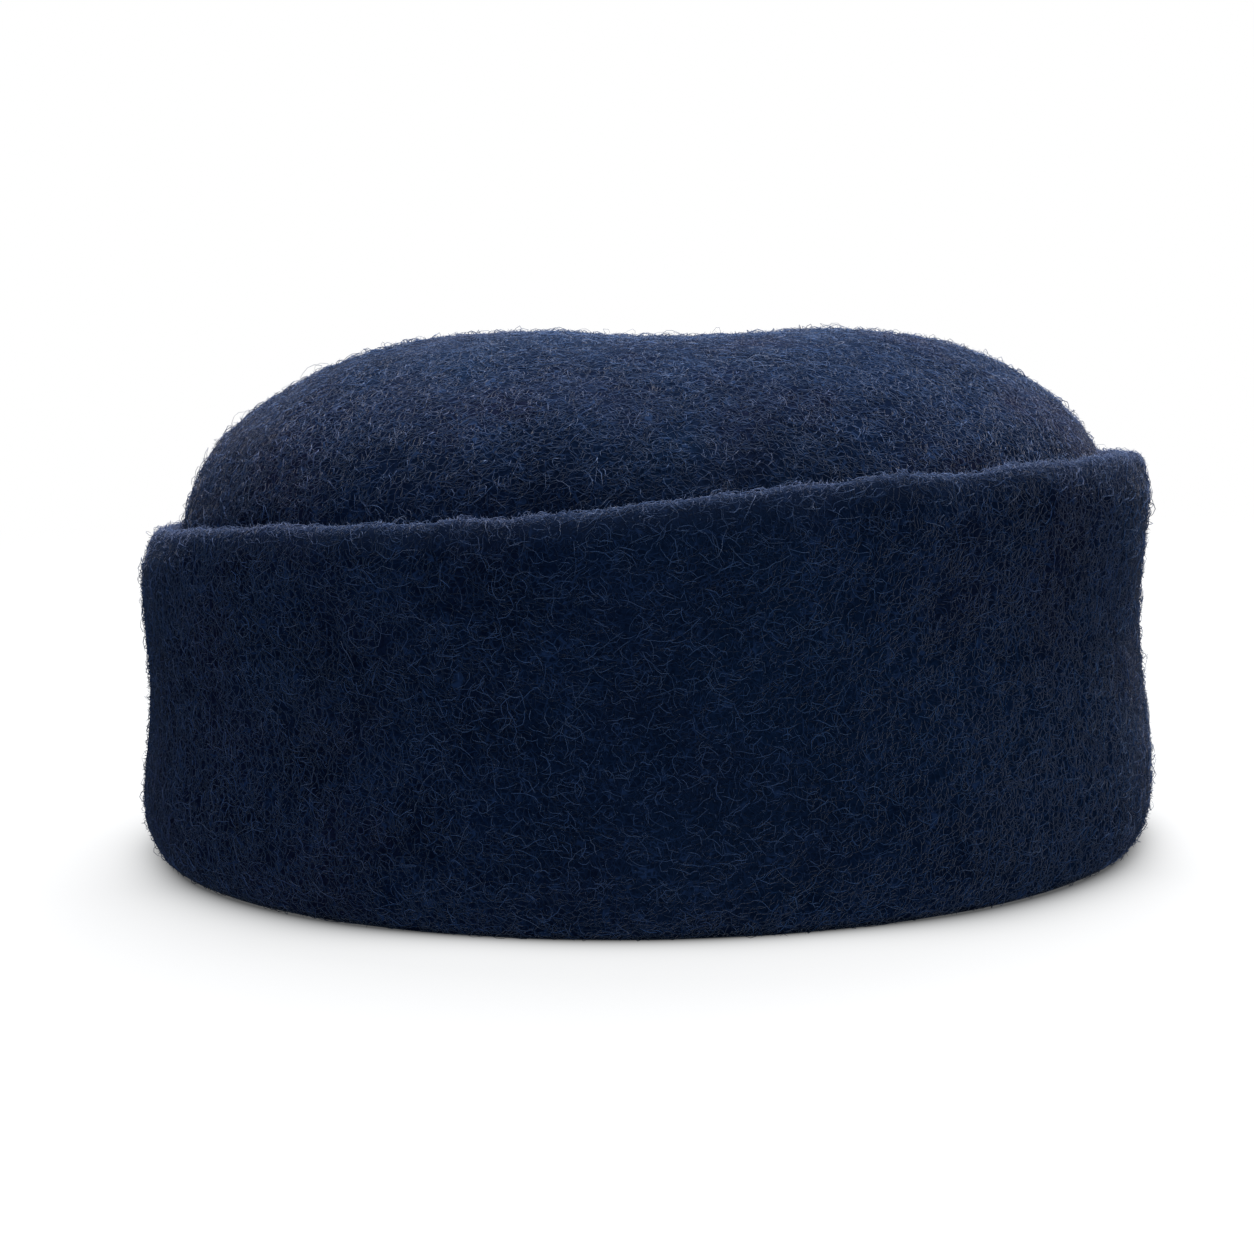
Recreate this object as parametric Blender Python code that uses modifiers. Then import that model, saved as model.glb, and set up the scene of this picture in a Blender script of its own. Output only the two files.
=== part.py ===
"""Felt hat, one seamless felted body: a low soft crown whose brim is turned up as a tall cuff.

Metres, +Z up, resting on z = 0 on its bottom fold. X runs along the head, towards the end where the
cuff stands higher. The felt is one sheet. Its middle line runs in stations from the crown's centre,
over the shoulder, down the wall, round the fold and up the cuff to the rim, at every angle round Z.
"""

import math
from collections import namedtuple

import bmesh
import bpy
from mathutils import Vector

# Driving dimensions
HEAD_LENGTH = 0.198  # room for the head along X, inside the felt
HEAD_WIDTH = 0.168  # room for the head along Y, inside the felt
FELT = 0.003  # thickness of the felt
CROWN_TOP = 0.1115  # floor to the top of the crown's outer face
SHOULDER_RUN = 0.066  # how far the crown's rounded shoulder reaches in from the wall
SHOULDER_DROP = 0.038  # how far that shoulder comes down
CROWN_DIP = 0.0034  # how far the crown's middle sinks
WALL_LEAN = 0.0015  # how far the wall leans in, from the fold up to the shoulder
CUFF_HEIGHT = 0.082  # floor to the cuff's rim where it stands highest at the end
CUFF_STANDOFF = 0.0088  # wall to cuff above the fold, between the middles of the felt
RIM_CURL = 0.0028  # how far the rim curls back in towards the crown
CURL_HEIGHT = 0.0085  # height of the part of the cuff that curls in
FOLD_HEIGHT = 0.0110  # height of the rounded fold at the bottom
FLATTENED = 0.0005  # how much the fold is pressed flat where it rests
RIM_ROUNDING = 0.0014  # radius of the rim's two edges

# How finely the felt is faceted
ANGLES = 60
CROWN_STATIONS = 5
SHOULDER_STATIONS = 8
WALL_STATIONS = 4
FOLD_STATIONS = 8
CUFF_STATIONS = 8
CURL_STATIONS = 4

# One row for each section through the hat, at an angle in degrees from +X, anticlockwise from above.
# rim is a share of CUFF_HEIGHT and curl of RIM_CURL. waist and flare are the cuff's stand-off at its
# narrowest and where the curl starts, as shares of CUFF_STANDOFF, and waist_at is the waist's share of
# the cuff's height below the curl. run and drop are shares of SHOULDER_RUN and SHOULDER_DROP.
Section = namedtuple("Section", "angle rim curl waist waist_at flare run drop")
SECTIONS = (
    Section(0, 1.005, 1.05, 0.60, 0.66, 0.88, 0.96, 0.92),
    Section(45, 0.99, 0.85, 0.62, 0.64, 0.88, 0.97, 0.96),
    Section(90, 0.95, 0.70, 0.72, 0.54, 0.90, 1.00, 1.00),
    Section(135, 0.865, 0.95, 0.76, 0.46, 0.86, 1.06, 1.04),
    Section(180, 0.83, 1.45, 0.74, 0.42, 0.80, 1.14, 1.08),
    Section(225, 0.915, 0.95, 0.76, 0.46, 0.86, 1.06, 1.04),
    Section(270, 0.986, 0.70, 0.70, 0.56, 0.90, 1.00, 1.00),
    Section(315, 1.047, 0.85, 0.62, 0.64, 0.88, 0.97, 0.96),
)

# One row for each hollow of the soft crown. x, y and z place its centre as shares of HEAD_LENGTH,
# HEAD_WIDTH and CROWN_TOP, reach_x, reach_y and reach_z are its spread as shares of the same, and
# depth is a share of CROWN_DIP.
Dent = namedtuple("Dent", "x y z reach_x reach_y reach_z depth")
DENTS = (
    Dent(0.06, 0.00, 1.00, 0.13, 0.30, 0.60, 1.00),
    Dent(-0.44, -0.24, 0.72, 0.05, 0.09, 0.10, 0.55),
    Dent(0.42, -0.26, 0.84, 0.05, 0.10, 0.10, 0.40),
    Dent(-0.12, 0.38, 0.86, 0.12, 0.10, 0.12, 0.45),
)

# The middle line of the felt, worked out from the sizes above
HALF_LENGTH = HEAD_LENGTH / 2 + FELT / 2
HALF_WIDTH = HEAD_WIDTH / 2 + FELT / 2
LINE_TOP = CROWN_TOP - FELT / 2
LINE_BOTTOM = FELT / 2 - FLATTENED
FOLD_TOP = LINE_BOTTOM + FOLD_HEIGHT
CROWN_HEART = Vector((0.0, 0.0, CROWN_TOP / 2))  # the crown's hollows sink towards this point

SHOULDER_START = CROWN_STATIONS
WALL_START = SHOULDER_START + SHOULDER_STATIONS
FOLD_START = WALL_START + WALL_STATIONS
CUFF_START = FOLD_START + FOLD_STATIONS
CURL_START = CUFF_START + CUFF_STATIONS
LAST_STATION = CURL_START + CURL_STATIONS

NAVY = (0.012, 0.019, 0.046, 1.0)


def clear_scene():
    for obj in list(bpy.data.objects):
        bpy.data.objects.remove(obj)


def new_collection(name):
    collection = bpy.data.collections.new(name)
    bpy.context.scene.collection.children.link(collection)
    return collection


def section_at(angle):
    """The section through the hat at any angle, smooth all the way round."""
    turn = 360 / len(SECTIONS)
    place = (angle % 360) / turn
    row = int(place)
    t = place - row
    before, here, after, beyond = (SECTIONS[(row + k) % len(SECTIONS)] for k in (-1, 0, 1, 2))

    def blended(p, a, b, q):
        rise = (b - p) / 2
        fall = (q - a) / 2
        ease = t * t * (3 - 2 * t)
        return a + (b - a) * ease + rise * t * (1 - t) ** 2 - fall * t * t * (1 - t)

    columns = zip(before[1:], here[1:], after[1:], beyond[1:])
    return Section(angle, *(blended(*column) for column in columns))


def eased(a, b, t):
    """From a to b, level at both ends."""
    return a + (b - a) * (1 - math.cos(math.pi * t)) / 2


def felt_line(station, section, plan_radius):
    """Share of the head's outline, stand-off from the wall and height of one station of the felt."""
    top_of_wall = 1 - WALL_LEAN / plan_radius
    end_of_top = top_of_wall - SHOULDER_RUN * section.run / plan_radius
    drop = SHOULDER_DROP * section.drop
    if station <= SHOULDER_START:
        return end_of_top * station / CROWN_STATIONS, 0.0, LINE_TOP
    if station <= WALL_START:
        turn = math.pi / 2 * (station - SHOULDER_START) / SHOULDER_STATIONS
        share = end_of_top + (top_of_wall - end_of_top) * math.sin(turn)
        return share, 0.0, LINE_TOP - drop * (1 - math.cos(turn))
    if station <= FOLD_START:
        t = (station - WALL_START) / WALL_STATIONS
        return top_of_wall + (1 - top_of_wall) * t, 0.0, LINE_TOP - drop + (FOLD_TOP - LINE_TOP + drop) * t
    if station <= CUFF_START:
        turn = math.pi * (station - FOLD_START) / FOLD_STATIONS
        return 1.0, CUFF_STANDOFF * (1 - math.cos(turn)) / 2, FOLD_TOP - FOLD_HEIGHT * math.sin(turn)
    waist = CUFF_STANDOFF * section.waist
    flare = CUFF_STANDOFF * section.flare
    start_of_curl = CUFF_HEIGHT * section.rim - CURL_HEIGHT
    if station > CURL_START:
        t = (station - CURL_START) / CURL_STATIONS
        return 1.0, flare - RIM_CURL * section.curl * t * t, start_of_curl + CURL_HEIGHT * t
    t = (station - CUFF_START) / CUFF_STATIONS
    if t < section.waist_at:
        standoff = eased(CUFF_STANDOFF, waist, t / section.waist_at)
    else:
        standoff = eased(waist, flare, (t - section.waist_at) / (1 - section.waist_at))
    return 1.0, standoff, FOLD_TOP + (start_of_curl - FOLD_TOP) * t


def dented(point):
    """A point of the crown, let down into the hollows that it lies in."""
    sink = 0.0
    for dent in DENTS:
        across = (point.x / HEAD_LENGTH - dent.x) / dent.reach_x
        along = (point.y / HEAD_WIDTH - dent.y) / dent.reach_y
        above = (point.z / CROWN_TOP - dent.z) / dent.reach_z
        sink += CROWN_DIP * dent.depth * math.exp(-(across**2 + along**2 + above**2) / 2)
    return point + (CROWN_HEART - point).normalized() * sink


def felt_point(station, turn):
    """Where a station of the felt's middle line lies, at an angle in radians."""
    cosine = math.cos(turn)
    sine = math.sin(turn)
    plan_radius = math.hypot(HALF_LENGTH * cosine, HALF_WIDTH * sine)
    share, standoff, height = felt_line(station, section_at(math.degrees(turn)), plan_radius)
    point = Vector(
        ((HALF_LENGTH * share + standoff) * cosine, (HALF_WIDTH * share + standoff) * sine, height)
    )
    return dented(point) if station < WALL_START else point


def felt_sheet():
    """The felt's middle surface: a plain tube with a ring for each station, carried to its place."""
    sheet = bmesh.new()
    column = [sheet.verts.new((1.0, 0.0, station)) for station in range(LAST_STATION + 1)]
    edges = [sheet.edges.new(pair) for pair in zip(column, column[1:])]
    bmesh.ops.spin(
        sheet,
        geom=column + edges,
        axis=(0, 0, 1),
        cent=(0, 0, 0),
        angle=math.tau,
        steps=ANGLES,
        use_merge=True,
        use_duplicate=False,
    )
    for vert in sheet.verts:
        vert.co = felt_point(round(vert.co.z), math.atan2(vert.co.y, vert.co.x))
    bmesh.ops.remove_doubles(sheet, verts=sheet.verts, dist=FELT / 1000)
    bmesh.ops.recalc_face_normals(sheet, faces=sheet.faces)
    centre_sheet(sheet)
    mesh = bpy.data.meshes.new("felt_body")
    sheet.to_mesh(mesh)
    sheet.free()
    mesh.shade_smooth()
    return mesh


def centre_sheet(sheet):
    """Stands the sheet with the middle of its outline on the origin."""
    xs = [vert.co.x for vert in sheet.verts]
    ys = [vert.co.y for vert in sheet.verts]
    middle = Vector(((min(xs) + max(xs)) / 2, (min(ys) + max(ys)) / 2, 0.0))
    bmesh.ops.translate(sheet, verts=sheet.verts, vec=-middle)


def felt_material():
    material = bpy.data.materials.new("navy_wool_felt")
    material.use_nodes = True
    shader = material.node_tree.nodes["Principled BSDF"]
    shader.inputs["Base Color"].default_value = NAVY
    shader.inputs["Roughness"].default_value = 0.95
    shader.inputs["Metallic"].default_value = 0.0
    return material


def resting_plane(collection):
    """The cutter below the floor that presses the fold flat."""
    side = 2 * (HEAD_LENGTH + HEAD_WIDTH)
    bpy.ops.mesh.primitive_cube_add(size=side, location=(0, 0, -side / 2))
    plane = bpy.context.object
    plane.name = "resting_plane"
    plane.hide_render = True
    plane.display_type = "WIRE"
    for other in plane.users_collection:
        other.objects.unlink(plane)
    collection.objects.link(plane)
    return plane


def felt_body(collection, cutters):
    """The whole hat: crown, wall, fold and cuff are one piece of felt."""
    body = bpy.data.objects.new("felt_body", felt_sheet())
    collection.objects.link(body)
    body.data.materials.append(felt_material())

    thicken = body.modifiers.new("felt_thickness", "SOLIDIFY")
    thicken.thickness = FELT
    thicken.offset = 0.0
    thicken.use_even_offset = True

    rounding = body.modifiers.new("rim_rounding", "BEVEL")
    rounding.width = RIM_ROUNDING
    rounding.segments = 2
    rounding.limit_method = "ANGLE"
    rounding.angle_limit = math.radians(65)

    rest = body.modifiers.new("resting_face", "BOOLEAN")
    rest.operation = "DIFFERENCE"
    rest.object = resting_plane(cutters)
    return body


def build_hat():
    clear_scene()
    felt_body(new_collection("felt_hat"), new_collection("cutters"))


build_hat()
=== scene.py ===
# A felt hat in navy wool: a low soft crown inside a tall turned-up cuff.
# The felt's shell is a finer copy of the hat's solid, and the loose wool on it is made of real fibres.
import math

import bmesh
import bpy
import numpy as np
from mathutils import Matrix, Vector, noise
from mathutils.bvhtree import BVHTree


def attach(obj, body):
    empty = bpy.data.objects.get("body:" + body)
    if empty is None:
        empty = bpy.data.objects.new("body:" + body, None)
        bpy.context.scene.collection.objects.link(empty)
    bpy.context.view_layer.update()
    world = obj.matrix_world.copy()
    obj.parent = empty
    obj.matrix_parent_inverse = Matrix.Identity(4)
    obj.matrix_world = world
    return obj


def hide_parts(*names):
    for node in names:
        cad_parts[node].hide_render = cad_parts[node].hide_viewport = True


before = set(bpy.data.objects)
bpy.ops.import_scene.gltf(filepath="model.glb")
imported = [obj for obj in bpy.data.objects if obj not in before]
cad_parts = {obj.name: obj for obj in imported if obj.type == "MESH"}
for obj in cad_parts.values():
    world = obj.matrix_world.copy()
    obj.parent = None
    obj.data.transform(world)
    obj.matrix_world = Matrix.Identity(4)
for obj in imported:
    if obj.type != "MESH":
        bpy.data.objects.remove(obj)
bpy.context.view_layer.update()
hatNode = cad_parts["felt_body"]
print("frame loaded")


# Shader maths

class Wire:  # a socket that takes part in sums
    def __init__(self, bench, socket):
        self.bench = bench
        self.socket = socket

    def __add__(self, other):
        return self.bench.sum("ADD", self, other)

    def __radd__(self, other):
        return self.bench.sum("ADD", other, self)

    def __sub__(self, other):
        return self.bench.sum("SUBTRACT", self, other)

    def __rsub__(self, other):
        return self.bench.sum("SUBTRACT", other, self)

    def __mul__(self, other):
        return self.bench.sum("MULTIPLY", self, other)

    def __rmul__(self, other):
        return self.bench.sum("MULTIPLY", other, self)

    def __truediv__(self, other):
        return self.bench.sum("DIVIDE", self, other)

    def __abs__(self):
        return self.bench.node("Math", {"operation": "ABSOLUTE"}, {0: self})


class Bench:  # the nodes of one material
    def __init__(self, name):
        self.material = bpy.data.materials.new(name)
        self.material.use_nodes = True
        self.tree = self.material.node_tree
        self.shader = self.tree.nodes["Principled BSDF"]

    def node(self, kind, settings=None, values=None, output=0):
        made = self.tree.nodes.new("ShaderNode" + kind)
        for name, value in (settings or {}).items():
            setattr(made, name, value)
        for key, value in (values or {}).items():
            self.feed(made.inputs[key], value)
        return Wire(self, made.outputs[output])

    def feed(self, socket, value):
        if isinstance(value, Wire):
            self.tree.links.new(value.socket, socket)
        else:
            socket.default_value = value

    def sum(self, operation, first, second):
        return self.node("Math", {"operation": operation}, {0: first, 1: second})

    def mix(self, share, first, second):  # of two colours
        return self.node("Mix", {"data_type": "RGBA"}, {0: share, 6: first, 7: second}, output=2)

    def ramp(self, value, low, high):  # 0 below low, 1 above high, and smooth between
        ends = {"Value": value, "From Min": low, "From Max": high}
        return self.node("MapRange", {"interpolation_type": "SMOOTHSTEP"}, ends)

    def cloud(self, place, scale, detail=1.0, roughness=0.5, distortion=0.0):
        values = {
            "Vector": place,
            "Scale": scale,
            "Detail": detail,
            "Roughness": roughness,
            "Distortion": distortion,
        }
        return self.node("TexNoise", {}, values)

    def finish(self, **values):  # socket names written as words without spaces
        for name, value in values.items():
            self.feed(self.shader.inputs[socketNames[name]], value)
        return self.material


socketNames = {
    "baseColor": "Base Color",
    "roughness": "Roughness",
    "specular": "Specular IOR Level",
    "normal": "Normal",
    "sheen": "Sheen Weight",
    "sheenRoughness": "Sheen Roughness",
    "sheenTint": "Sheen Tint",
    "emission": "Emission Color",
    "emissionStrength": "Emission Strength",
}


# Camera, as the photograph was taken: close and nearly level

cameraView = {
    "distance": 0.5,  # from the hat's middle, along -Y
    "across": -0.00395,
    "height": 0.1185,
    "pitch": 8.33,  # degrees below level
    "roll": -0.93,
    "lens": 65.49,
    "sensor": 36.0,
}


def makeCamera(view):
    data = bpy.data.cameras.new("camera")
    data.lens = view["lens"]
    data.sensor_width = view["sensor"]
    data.clip_start = 0.01
    camera = bpy.data.objects.new("camera", data)
    turn = Matrix.Rotation(math.radians(90 - view["pitch"]), 4, "X")
    turn = turn @ Matrix.Rotation(math.radians(view["roll"]), 4, "Z")
    camera.matrix_world = Matrix.Translation((view["across"], -view["distance"], view["height"])) @ turn
    bpy.context.scene.collection.objects.link(camera)
    bpy.context.scene.camera = camera


makeCamera(cameraView)
print("camera made")


# Light: a soft box overhead, a weaker one in front, and a white room that the camera sees

studioLight = {
    "overheadPower": 30.0,
    "overheadSize": 0.8,
    "overheadPlace": (0.19, 0.52, 1.08),
    "frontPower": 1.6,
    "frontSize": 0.7,
    "frontPlace": (0.38, -1.25, 0.42),
    "roomSeen": 1.0,  # what the camera sees
    "roomAbove": 0.27,  # what lights the hat, from above, level and below
    "roomLevel": 0.18,
    "roomBelow": 0.14,
    "roomTint": (0.62, 0.97, 1.42),
}


def aimedLight(name, place, target, power, size):
    data = bpy.data.lights.new(name, "AREA")
    data.energy = power
    data.size = size
    lamp = bpy.data.objects.new(name, data)
    lamp.location = place
    lamp.rotation_euler = (Vector(target) - Vector(place)).to_track_quat("-Z", "Y").to_euler()
    bpy.context.scene.collection.objects.link(lamp)


def makeRoom(light):
    world = bpy.data.worlds.new("studio")
    world.use_nodes = True
    tree = world.node_tree
    sky = tree.nodes["Background"]
    direction = tree.nodes.new("ShaderNodeTexCoord")
    parts = tree.nodes.new("ShaderNodeSeparateXYZ")
    shades = tree.nodes.new("ShaderNodeValToRGB")
    spread = tree.nodes.new("ShaderNodeMapRange")
    spread.inputs["From Min"].default_value = -1.0
    tree.links.new(direction.outputs["Generated"], parts.inputs[0])
    tree.links.new(parts.outputs["Z"], spread.inputs["Value"])
    tree.links.new(spread.outputs["Result"], shades.inputs["Fac"])
    ramp = shades.color_ramp
    ramp.elements.new(0.5)
    for element, strength in zip(ramp.elements, ("roomBelow", "roomLevel", "roomAbove")):
        element.color = tuple(light[strength] * tint for tint in light["roomTint"]) + (1,)
    seen = tree.nodes.new("ShaderNodeBackground")
    seen.inputs["Color"].default_value = (light["roomSeen"],) * 3 + (1,)
    ray = tree.nodes.new("ShaderNodeLightPath")
    either = tree.nodes.new("ShaderNodeMixShader")
    tree.links.new(shades.outputs["Color"], sky.inputs["Color"])
    tree.links.new(ray.outputs["Is Camera Ray"], either.inputs[0])
    tree.links.new(sky.outputs[0], either.inputs[1])
    tree.links.new(seen.outputs[0], either.inputs[2])
    tree.links.new(either.outputs[0], tree.nodes["World Output"].inputs["Surface"])
    bpy.context.scene.world = world
    aimedLight("overhead", light["overheadPlace"], (0, 0, 0), light["overheadPower"], light["overheadSize"])
    aimedLight("front", light["frontPlace"], (0, 0, 0.05), light["frontPower"], light["frontSize"])
    bpy.context.scene.view_settings.view_transform = "Standard"


makeRoom(studioLight)


# Floor: plain and white, with a painted contact shadow close round the hat, and it throws no light back on it

floorSheet = {
    "half": 3.0,
    "white": 0.11,
    "glow": 0.90,
    "fadeFrom": 0.25,  # metres from the hat's middle over which it turns into the white of the room
    "fadeTo": 0.75,
    "outline": (0.1108, 0.0958),  # half sizes of the outline that the painted contact shadow follows
    "shade": (0.30, 0.58),  # how dark the painted contact shadow is under the outline, before the hat and at its corners
    "reach": (0.0036, 0.0062),  # and how fast it fades outwards, in metres
    "corner": (0.25, 0.62, 0.86, 1.0),  # shares of the way to the side between which the corners lie
}


def makeFloor(sheet):
    shape = bmesh.new()
    bmesh.ops.create_grid(shape, x_segments=1, y_segments=1, size=sheet["half"])
    mesh = bpy.data.meshes.new("floor")
    shape.to_mesh(mesh)
    shape.free()
    floor = bpy.data.objects.new("floor", mesh)
    bpy.context.scene.collection.objects.link(floor)
    paint = Bench("whiteFloorPaintedShadow")
    place = paint.node("TexCoord", output=3)
    away = paint.node("VectorMath", {"operation": "LENGTH"}, {0: place}, output=1)
    far = paint.ramp(away, sheet["fadeFrom"], sheet["fadeTo"])
    half, depth = sheet["outline"]
    scaled = paint.node("VectorMath", {"operation": "DIVIDE"}, {0: place, 1: (half, depth, 1.0)})
    ring = paint.node("VectorMath", {"operation": "LENGTH"}, {0: scaled}, output=1)
    aside = abs(paint.node("SeparateXYZ", {}, {0: scaled})) / ring
    # the painted contact shadow: darkest at the outline and fading outwards, stronger and wider towards the
    # corners
    inner, near, end, side = sheet["corner"]
    corner = paint.ramp(aside, inner, near) * (1 - 0.6 * paint.ramp(aside, end, side))
    reach = sheet["reach"][0] + (sheet["reach"][1] - sheet["reach"][0]) * corner
    shade = sheet["shade"][0] + (sheet["shade"][1] - sheet["shade"][0]) * corner
    shade = shade * paint.sum("POWER", math.e, (away / ring - away - 0.001) / reach)
    shade = paint.sum("MINIMUM", shade, 0.9)
    glow = paint.mix(shade, (sheet["glow"],) * 3 + (1,), (0, 0, 0, 1))
    mesh.materials.append(
        paint.finish(
            baseColor=paint.mix(far, (sheet["white"],) * 3 + (1,), (0, 0, 0, 1)),
            emission=paint.mix(far, glow, (1, 1, 1, 1)),
            emissionStrength=1.0,
            roughness=1.0,
            specular=0.0,
        )
    )
    floor.visible_diffuse = False
    floor.visible_glossy = False


makeFloor(floorSheet)
print("room, lights and floor made")


# The felt's shell

headHalf = np.array([0.1005, 0.0855])  # half sizes of the felt's middle line round the head

shellForm = {
    "weld": 1e-6,
    "levels": 2,
    "swell": 0.00050,  # soft unevenness, in metres, and how wide its humps are
    "swellWidth": 0.022,
    "dimple": 0.00030,
    "dimpleWidth": 0.008,
    "rimPlump": 0.00040,  # how much the soft rim swells, and over what height
    "rimBand": 0.006,
    "rimWave": 0.0011,  # how far the rim rises and falls, how wide its waves are, and how far down they reach
    "rimWaveWidth": 0.013,
    "rimWaveBand": 0.012,
    "rimShape": (  # how far the rim stands below the solid's, by angle in degrees, in metres
        (0, 0.0013), (15, 0.0010), (40, 0.0005), (90, 0.0003), (140, 0.0), (215, 0.0), (225, 0.0003),
        (235, 0.0008), (245, 0.0008), (255, 0.0013), (262, 0.0011), (270, 0.0003), (280, -0.0007),
        (290, -0.0003), (300, 0.0001), (310, 0.0011), (320, 0.0009), (345, 0.0012),
    ),
    "rimHighlightBand": 0.0070,  # below the rim, over which the painted highlight fades
    "restBand": 0.004,  # above the floor, where the unevenness fades out
}


def finerCopy(node, form):
    shape = bmesh.new()
    shape.from_mesh(node.data)
    bmesh.ops.remove_doubles(shape, verts=shape.verts, dist=form["weld"])
    bmesh.ops.join_triangles(
        shape, faces=shape.faces, angle_face_threshold=0.7, angle_shape_threshold=1.2
    )
    mesh = bpy.data.meshes.new("felt_shell")
    shape.to_mesh(mesh)
    shape.free()
    rough = bpy.data.objects.new("felt_rough", mesh)
    bpy.context.scene.collection.objects.link(rough)
    smooth = rough.modifiers.new("smooth", "SUBSURF")
    smooth.levels = smooth.render_levels = form["levels"]
    made = bpy.data.meshes.new_from_object(rough.evaluated_get(bpy.context.evaluated_depsgraph_get()))
    bpy.data.objects.remove(rough)
    return made


def reachOf(spots):  # 1 on the felt's middle line round the head, more on the cuff
    return np.hypot(spots[:, 0] / headHalf[0], spots[:, 1] / headHalf[1])


class RimLine:  # how high the cuff's rim stands at each angle round the hat
    def __init__(self, spots, bins=90):
        cuff = spots[reachOf(spots) > 1.025]
        turn = np.arctan2(cuff[:, 1], cuff[:, 0])
        self.angles = (np.arange(bins) + 0.5) * math.tau / bins - math.pi
        near = np.abs((turn[None] - self.angles[:, None] + math.pi) % math.tau - math.pi) < math.tau / bins
        self.heights = np.array([cuff[row, 2].max() for row in near])

    def below(self, spots):  # how far each spot lies below the rim
        turn = np.arctan2(spots[:, 1], spots[:, 0])
        return np.interp(turn, self.angles, self.heights, period=math.tau) - spots[:, 2]


def humpsAt(spots):
    return np.array([noise.noise(Vector(spot)) for spot in spots])


def nearRim(spots, rim, band):  # 1 on the cuff's rim, fading out over a band below it
    share = np.clip(1 - rim.below(spots) / band, 0, 1) * (reachOf(spots) > 1.02)
    return share**2 * (3 - 2 * share)


def uneven(mesh, form):  # in and out along the normal, except where the felt rests
    count = len(mesh.vertices)
    spots, facings = np.empty(count * 3), np.empty(count * 3)
    mesh.vertices.foreach_get("co", spots)
    mesh.vertex_normals.foreach_get("vector", facings)
    spots, facings = spots.reshape(-1, 3), facings.reshape(-1, 3)
    rim = RimLine(spots)
    humps = humpsAt(spots / form["swellWidth"])
    dimples = humpsAt(spots / form["dimpleWidth"] + (7, 3, 5))
    waves = humpsAt(spots / form["rimWaveWidth"] + (2, 6, 4))
    depth = form["swell"] * humps + form["dimple"] * dimples
    depth += form["rimPlump"] * nearRim(spots, rim, form["rimBand"])
    depth *= np.clip(spots[:, 2] / form["restBand"], 0, 1)
    spots = spots + facings * depth[:, None]
    turn = np.degrees(np.arctan2(spots[:, 1], spots[:, 0]))
    lower = np.interp(turn, *zip(*form["rimShape"]), period=360)
    spots[:, 2] += (form["rimWave"] * waves - lower) * nearRim(spots, rim, form["rimWaveBand"])
    mesh.vertices.foreach_set("co", spots.ravel())
    mesh.update()
    return RimLine(spots)


def markRimHighlight(mesh, band):  # an attribute that is 1 on the rim and fades out below it, where the painted highlight goes
    spots = np.empty(len(mesh.vertices) * 3)
    mesh.vertices.foreach_get("co", spots)
    share = nearRim(spots.reshape(-1, 3), rimLine, band)
    mesh.attributes.new("rimHighlightMask", "FLOAT", "POINT").data.foreach_set("value", share)


shellMesh = finerCopy(hatNode, shellForm)
rimLine = uneven(shellMesh, shellForm)
markRimHighlight(shellMesh, shellForm["rimHighlightBand"])
shellMesh.shade_smooth()
shell = bpy.data.objects.new("felt_shell", shellMesh)
bpy.context.scene.collection.objects.link(shell)
print("shell made:", len(shellMesh.polygons), "faces")


# The felt's finish: navy wool, clouded, under a web of fine curly strands, with a painted highlight on the
# rim and a painted shadow line at the foot

feltLook = {
    "deep": (0.0062, 0.0125, 0.033, 1),
    "navy": (0.0088, 0.0195, 0.052, 1),
    "plum": (0.0190, 0.0172, 0.041, 1),
    "teal": (0.0120, 0.0285, 0.064, 1),
    "strand": (0.036, 0.066, 0.148, 1),
    "grain": 0.45,  # how much the base darkens in fine pits
    "grainScale": 1300.0,
    "cloudScale": 70.0,
    "plumScale": 38.0,
    "plumFrom": 0.055,  # metres from the middle towards the low end of the rim, where plum shows more
    "plumTo": 0.115,
    "tealScale": 17.0,
    "tealSpot": (0.020, -0.094, 0.036),  # the middle of the teal patch on the cuff, and its reach
    "tealFrom": 0.020,
    "tealTo": 0.075,
    # near black: for the fine pits, and for the painted shadow line at the foot
    "pitAndFootShadow": (0.002, 0.004, 0.010, 1),
    "footShadow": (0.0004, 0.0024),  # heights over which the painted shadow line where the felt meets the floor fades
    "footShadowShare": 0.85,
    "footWave": 0.0016,
    "footScale": 90.0,
    "bendScale": 230.0,  # how the strands wind, and how far, in metres
    "bend": 0.0030,
    "webLayers": (  # scale, turn and stretch of each layer of strands
        (330.0, (0.1, 0.2, 0.2), (1.0, 1.0, 1.7)),
        (460.0, (-0.6, 0.9, 1.1), (1.5, 1.0, 0.8)),
        (620.0, (0.9, -0.4, 0.5), (0.9, 1.2, 1.3)),
    ),
    "webWidth": 0.00017,  # metres
    "webGap": (0.32, 0.54),  # where each layer's strands come and go
    "webStrength": 0.85,
    "webDepth": 0.00030,
    "rimHighlightColor": (0.044, 0.062, 0.118, 1),  # the rim's top edge, paler as a painted highlight
    "rimHighlightShare": 0.6,
    "sheen": 0.27,
    "sheenRoughness": 0.22,
    "sheenTint": (0.94, 0.91, 1.0, 1),
}


def patchy(bench, place, color, plum, teal, share, look):  # a colour with plum and teal patches
    cloud = bench.ramp(bench.cloud(place, look["plumScale"], 2.0), 0.45, 0.68) * 0.6
    low = bench.ramp(0 - bench.node("SeparateXYZ", {}, {0: place}), look["plumFrom"], look["plumTo"])
    color = bench.mix(bench.sum("MINIMUM", cloud + 0.6 * low, 0.8) * share, color, plum)
    away = bench.node("VectorMath", {"operation": "DISTANCE"}, {0: place, 1: look["tealSpot"]}, output=1)
    cloud = bench.ramp(bench.cloud(place, look["tealScale"], 2.0), 0.48, 0.66) * 0.45
    spot = 1 - bench.ramp(away, look["tealFrom"], look["tealTo"])
    return bench.mix(bench.sum("MINIMUM", cloud + 0.55 * spot, 0.8) * share, color, teal)


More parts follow.
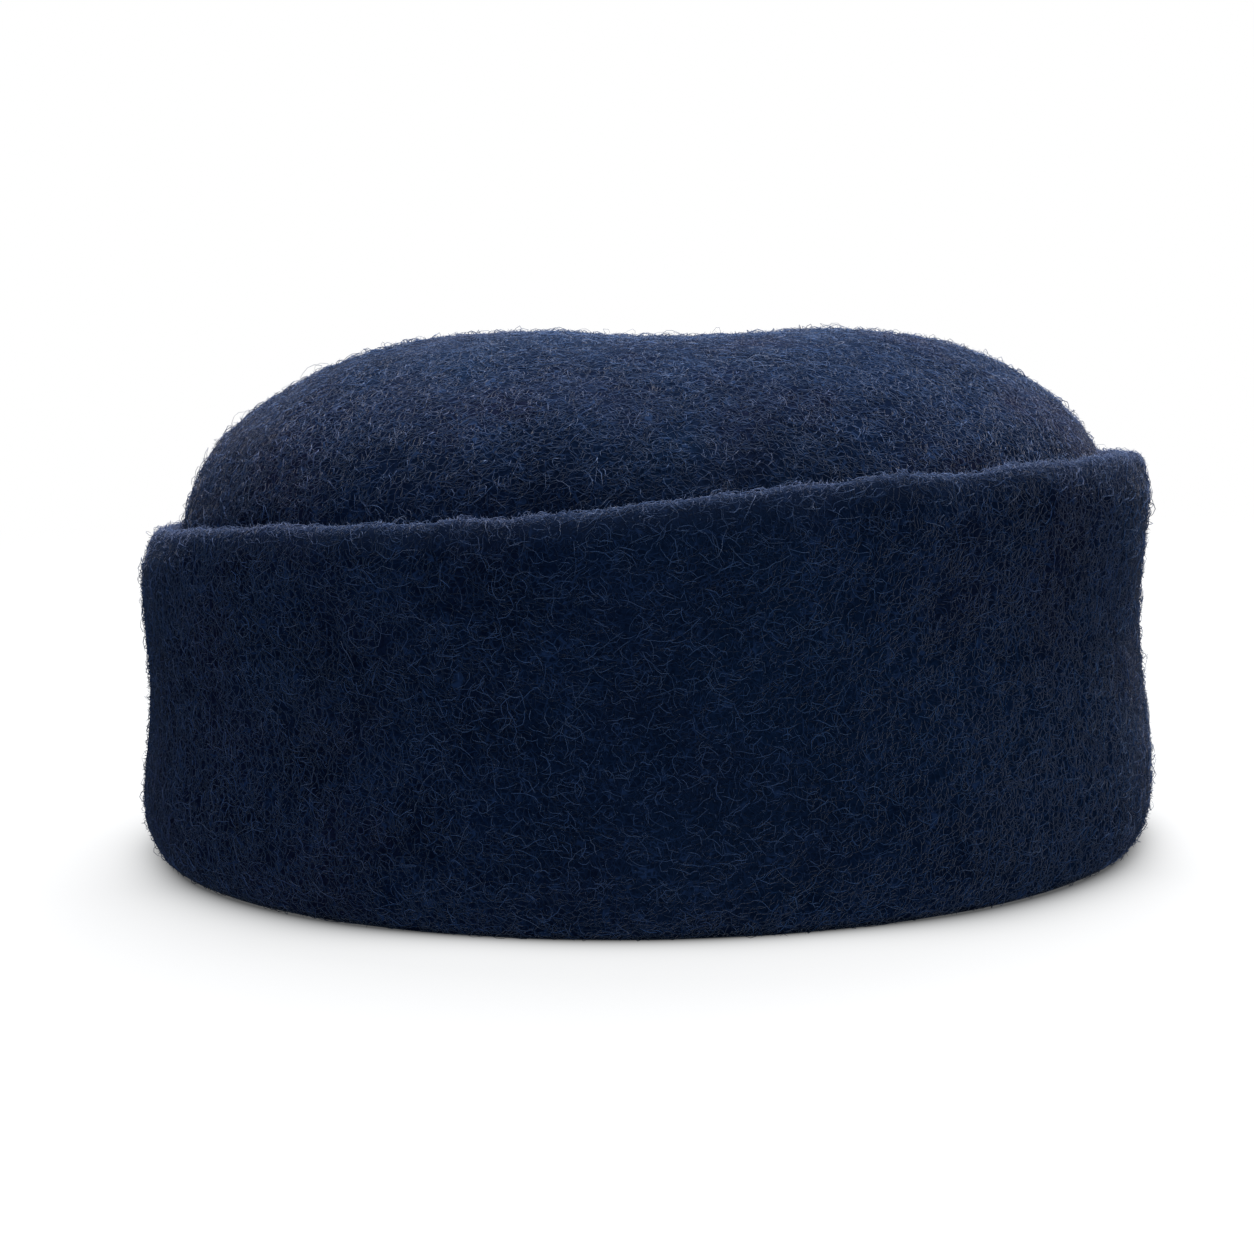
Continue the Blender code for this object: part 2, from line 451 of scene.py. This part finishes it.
def paintedFootShadow(bench, place, color, look):  # painted shade: darker where the felt meets the floor, as a shadow line
    height = bench.node("SeparateXYZ", {}, {0: place}, output=2)
    height = height + look["footWave"] * (bench.cloud(place, look["footScale"]) - 0.5)
    return bench.mix((1 - bench.ramp(height, *look["footShadow"])) * look["footShadowShare"], color, look["pitAndFootShadow"])


def feltFinish(look):
    felt = Bench("navyWoolFelt")
    place = felt.node("TexCoord", output=3)
    winding = {"Vector": place, "Scale": look["bendScale"], "Detail": 1.5}
    winding = felt.node("TexNoise", {}, winding, output="Color")
    bent = felt.node(
        "VectorMath", {"operation": "MULTIPLY_ADD"}, {0: winding, 1: (look["bend"],) * 3, 2: place}
    )
    shares = felt.node("SeparateXYZ", {}, {0: winding}).socket.node.outputs
    web = None
    for share, (scale, turn, stretch) in zip(shares, look["webLayers"]):
        laid = felt.node("Mapping", {}, {"Vector": bent, "Rotation": turn, "Scale": stretch})
        edge = felt.node(
            "TexVoronoi", {"feature": "DISTANCE_TO_EDGE"}, {"Vector": laid, "Scale": scale}, output="Distance"
        )
        strand = 1 - felt.ramp(edge, 0.0, look["webWidth"] * scale)
        strand = strand * felt.ramp(Wire(felt, share), *look["webGap"])
        web = strand if web is None else felt.sum("MAXIMUM", web, strand)
    cloud = felt.cloud(place, look["cloudScale"], 3.0)
    shade = felt.mix(felt.ramp(cloud, 0.36, 0.64), look["deep"], look["navy"])
    shade = patchy(felt, place, shade, look["plum"], look["teal"], 1.0, look)
    pits = 1 - felt.ramp(felt.cloud(place, look["grainScale"], 2.0), 0.36, 0.62)
    shade = felt.mix(pits * look["grain"], shade, look["pitAndFootShadow"])
    color = felt.mix(web * look["webStrength"] * (0.3 + 1.1 * cloud), shade, look["strand"])
    # a painted highlight along the rim's top edge
    edge = felt.node("Attribute", {"attribute_name": "rimHighlightMask"}, output="Fac")
    color = felt.mix(edge * look["rimHighlightShare"], color, look["rimHighlightColor"])
    # a painted shadow line where the felt meets the floor
    color = paintedFootShadow(felt, place, color, look)
    bump = felt.node("Bump", {}, {"Strength": 1.0, "Distance": 1.0, "Height": web * look["webDepth"]})
    return felt.finish(
        baseColor=color,
        roughness=1.0 - 0.15 * web,
        specular=0.0,
        normal=bump,
        sheen=look["sheen"],
        sheenRoughness=look["sheenRoughness"],
        sheenTint=look["sheenTint"],
    )


shellMesh.materials.clear()
shellMesh.materials.append(feltFinish(feltLook))
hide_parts("felt_body")
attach(shell, "root")
print("felt finish made")


# Loose wool: real fibres that lie in the felt, stand a little out of it, or rise from it as hairs

feltTree = BVHTree.FromPolygons(
    [vert.co for vert in shellMesh.vertices], [face.vertices for face in shellMesh.polygons]
)


class Ground:  # the shell's triangles, as arrays to draw places from
    def __init__(self, mesh):
        mesh.calc_loop_triangles()
        count = len(mesh.loop_triangles)
        corners = np.empty(count * 3, np.int32)
        mesh.loop_triangles.foreach_get("vertices", corners)
        spots = np.empty(len(mesh.vertices) * 3, np.float64)
        mesh.vertices.foreach_get("co", spots)
        self.corners = spots.reshape(-1, 3)[corners.reshape(-1, 3)]
        across = np.cross(self.corners[:, 1] - self.corners[:, 0], self.corners[:, 2] - self.corners[:, 0])
        size = np.linalg.norm(across, axis=1)
        self.area = size / 2
        self.normal = across / np.maximum(size, 1e-12)[:, None]
        self.middle = self.corners.mean(axis=1)

    def draw(self, dice, count, weight):  # places on the felt, more of them where weight is high
        odds = self.area * weight
        chosen = dice.choice(len(odds), count, p=odds / odds.sum())
        a, b = dice.random(count), dice.random(count)
        over = a + b > 1
        a[over], b[over] = 1 - a[over], 1 - b[over]
        first, second, third = (self.corners[chosen, k] for k in range(3))
        return first + (second - first) * a[:, None] + (third - first) * b[:, None], self.normal[chosen]


ground = Ground(shellMesh)

woolWhere = {
    "crown": 1.0,
    "cuff": 1.0,
    "rimBand": 0.0025,
    "gap": 0.10,  # between cuff and crown
    "hollow": 0.06,  # inside, where the head goes
    "under": 0.30,
    "heart": (0.0, 0.0, 0.045),
    "crownFoot": 0.058,
    "underTop": 0.0012,
}


def woolWeight(where):  # how densely each triangle of the shell is covered
    reach = reachOf(ground.middle)
    steep = ground.middle[:, :2] / headHalf**2
    outward = (ground.normal[:, :2] * steep).sum(axis=1) > 0
    onCuff = reach > 1.02 + 0.02 * outward
    onTop = (ground.normal * (ground.middle - where["heart"])).sum(axis=1) > 0
    height = ground.middle[:, 2]
    weight = np.full(len(reach), where["hollow"])
    weight[~onCuff & onTop] = where["crown"]
    weight[~onCuff & onTop & (height < where["crownFoot"])] = where["gap"]
    weight[onCuff & outward] = where["cuff"]
    weight[onCuff & ~outward] = where["gap"]
    weight[height < where["underTop"]] = where["under"]
    return weight, onCuff & (rimLine.below(ground.middle) < where["rimBand"])


feltWeight, onRim = woolWeight(woolWhere)


def unit(vectors):
    return vectors / np.maximum(np.linalg.norm(vectors, axis=-1, keepdims=True), 1e-12)


def onFelt(points):  # the nearest spots on the felt, and which way it faces there
    found = [feltTree.find_nearest(point) for point in points.tolist()]
    return np.array([spot[0] for spot in found]), np.array([spot[1] for spot in found])


def growPaths(dice, fibres):  # each fibre's points, walked over the felt, and the felt's facing at each
    count, steps = fibres["count"], fibres["steps"]
    spot, facing = ground.draw(dice, count, np.where(onRim, fibres["rim"], feltWeight))
    heading = dice.normal(size=(count, 3)) * (1, 1, fibres["upright"])
    heading = unit(heading - facing * (heading * facing).sum(axis=1)[:, None])
    length = dice.uniform(*fibres["length"], count)
    curl = dice.normal(0, fibres["curl"], count)
    stride = (length / steps)[:, None]
    spots, facings = [spot], [facing]
    for _ in range(steps):
        spot, facing = onFelt(spot + heading * stride)
        turn = curl + dice.normal(0, fibres["waver"], count)
        heading = unit(heading - facing * (heading * facing).sum(axis=1)[:, None])
        side = np.cross(facing, heading)
        heading = heading * np.cos(turn)[:, None] + side * np.sin(turn)[:, None]
        spots.append(spot)
        facings.append(facing)
    spots, facings = np.stack(spots, 1), np.stack(facings, 1)
    along = np.linspace(0, 1, steps + 1)[None, :]
    if fibres["rising"]:
        rise = along ** dice.uniform(0.6, 1.4, (count, 1))
    else:
        rise = np.sin(math.pi * along)
    height = np.minimum(dice.gamma(2.0, fibres["lift"] / 2.0, (count, 1)), fibres["lift"] * fibres["top"])
    lift = fibres["sunk"] + height * rise
    paths = spots + facings * lift[:, :, None]
    paths[:, :, 2] = np.maximum(paths[:, :, 2], fibres["thick"][1])  # none reaches below the floor
    return paths, facings


def strandFaces(steps):  # the triangles of one three-sided strand: a base, its sides and a pointed tip
    faces = [(0, 2, 1)]
    for ring in range(steps - 1):
        for corner in range(3):
            low, beside = ring * 3 + corner, ring * 3 + (corner + 1) % 3
            faces += [(low, beside, beside + 3), (low, beside + 3, low + 3)]
    tip = steps * 3
    return faces + [(tip - 3 + corner, tip - 3 + (corner + 1) % 3, tip) for corner in range(3)]


def fibreMesh(name, paths, facings, radius):
    count, points = paths.shape[:2]
    steps = points - 1
    way = unit(np.gradient(paths, axis=1))
    side = unit(np.cross(facings, way))
    up = np.cross(way, side)
    spots = np.empty((count, steps * 3 + 1, 3))
    for ring in range(steps):
        thick = (radius * (1 - 0.45 * ring / steps))[:, None]
        for corner in range(3):
            angle = math.tau * corner / 3 + math.pi / 2
            offset = side[:, ring] * math.cos(angle) + up[:, ring] * math.sin(angle)
            spots[:, ring * 3 + corner] = paths[:, ring] + offset * thick
    spots[:, -1] = paths[:, -1]
    each = np.array(strandFaces(steps))[None] + (np.arange(count) * (steps * 3 + 1))[:, None, None]
    each = each.reshape(-1, 3)
    mesh = bpy.data.meshes.new(name)
    mesh.vertices.add(count * (steps * 3 + 1))
    mesh.vertices.foreach_set("co", spots.ravel())
    mesh.loops.add(each.size)
    mesh.loops.foreach_set("vertex_index", each.ravel())
    mesh.polygons.add(len(each))
    mesh.polygons.foreach_set("loop_start", np.arange(len(each)) * 3)
    mesh.update(calc_edges=True)
    mesh.shade_smooth()
    return mesh


woolLook = {
    "streakScale": 420.0,  # how the colour changes along the fibres
    "cloudScale": 55.0,
    # a painted highlight along the rim's top edge, and how much of it shows
    "rimHighlightColor": (0.084, 0.122, 0.235, 1),
    "rimHighlightShare": 0.6,
    "plum": (0.120, 0.100, 0.170, 1),
    "teal": (0.066, 0.148, 0.300, 1),
    "patchShare": 0.5,
    "sheen": 0.27,
    "sheenTint": (0.94, 0.91, 1.0, 1),
}


def woolFinish(name, dark, pale, look):
    wool = Bench(name)
    place = wool.node("TexCoord", output=3)
    streak = wool.ramp(wool.cloud(place, look["streakScale"], 1.0), 0.30, 0.70)
    cloud = wool.ramp(wool.cloud(place, look["cloudScale"], 1.0), 0.30, 0.70)
    color = wool.mix(0.6 * streak + 0.4 * cloud, dark + (1,), pale + (1,))
    color = patchy(wool, place, color, look["plum"], look["teal"], look["patchShare"], feltLook)
    # a painted highlight along the rim's top edge
    edge = wool.node("Attribute", {"attribute_name": "rimHighlightMask"}, output="Fac")
    color = wool.mix(edge * look["rimHighlightShare"], color, look["rimHighlightColor"])
    # the base colour gets a painted shadow line where the wool meets the floor
    return wool.finish(
        baseColor=paintedFootShadow(wool, place, color, feltLook),
        roughness=0.9,
        specular=0.02,
        sheen=look["sheen"],
        sheenTint=look["sheenTint"],
    )


lyingWool = {
    "count": 9000, "steps": 4, "length": (0.0022, 0.0062), "curl": 0.55, "waver": 0.45, "upright": 0.45,
    "lift": 0.00036, "top": 4.0, "sunk": -0.00005, "rising": False, "thick": (0.00006, 0.00012), "rim": 2.5,
}
woolPieces = {
    "wool_web_deep": {**lyingWool, "seed": 11, "dark": (0.017, 0.042, 0.106), "pale": (0.034, 0.084, 0.200)},
    "wool_web_blue": {**lyingWool, "seed": 12, "dark": (0.030, 0.066, 0.158), "pale": (0.066, 0.132, 0.298)},
    "wool_web_pale": {
        **lyingWool, "seed": 13, "thick": (0.00004, 0.00009), "lift": 0.00044,
        "dark": (0.054, 0.096, 0.204), "pale": (0.130, 0.204, 0.380),
    },
    "wool_nap": {
        "seed": 14, "count": 49500, "steps": 1, "length": (0.0005, 0.0014), "curl": 0.5, "waver": 0.5,
        "upright": 1.0, "lift": 0.00066, "top": 1.9, "sunk": -0.00015, "rising": True,
        "thick": (0.00008, 0.00014), "rim": 4.0, "dark": (0.016, 0.037, 0.092), "pale": (0.043, 0.077, 0.164),
    },
    "wool_hairs": {
        **lyingWool, "seed": 15, "count": 1300, "steps": 5, "length": (0.0030, 0.0085), "curl": 0.6,
        "lift": 0.00070, "top": 3.0, "thick": (0.00005, 0.00008),
        "dark": (0.110, 0.140, 0.230), "pale": (0.240, 0.275, 0.380),
    },
}

for name, fibres in woolPieces.items():
    dice = np.random.default_rng(fibres["seed"])
    paths, facings = growPaths(dice, fibres)
    mesh = fibreMesh(name, paths, facings, dice.uniform(*fibres["thick"], fibres["count"]))
    markRimHighlight(mesh, shellForm["rimHighlightBand"])
    mesh.materials.append(woolFinish(name + "_finish", fibres["dark"], fibres["pale"], woolLook))
    piece = bpy.data.objects.new(name, mesh)
    bpy.context.scene.collection.objects.link(piece)
    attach(piece, "root")
    print(name, "made:", len(mesh.polygons), "faces")
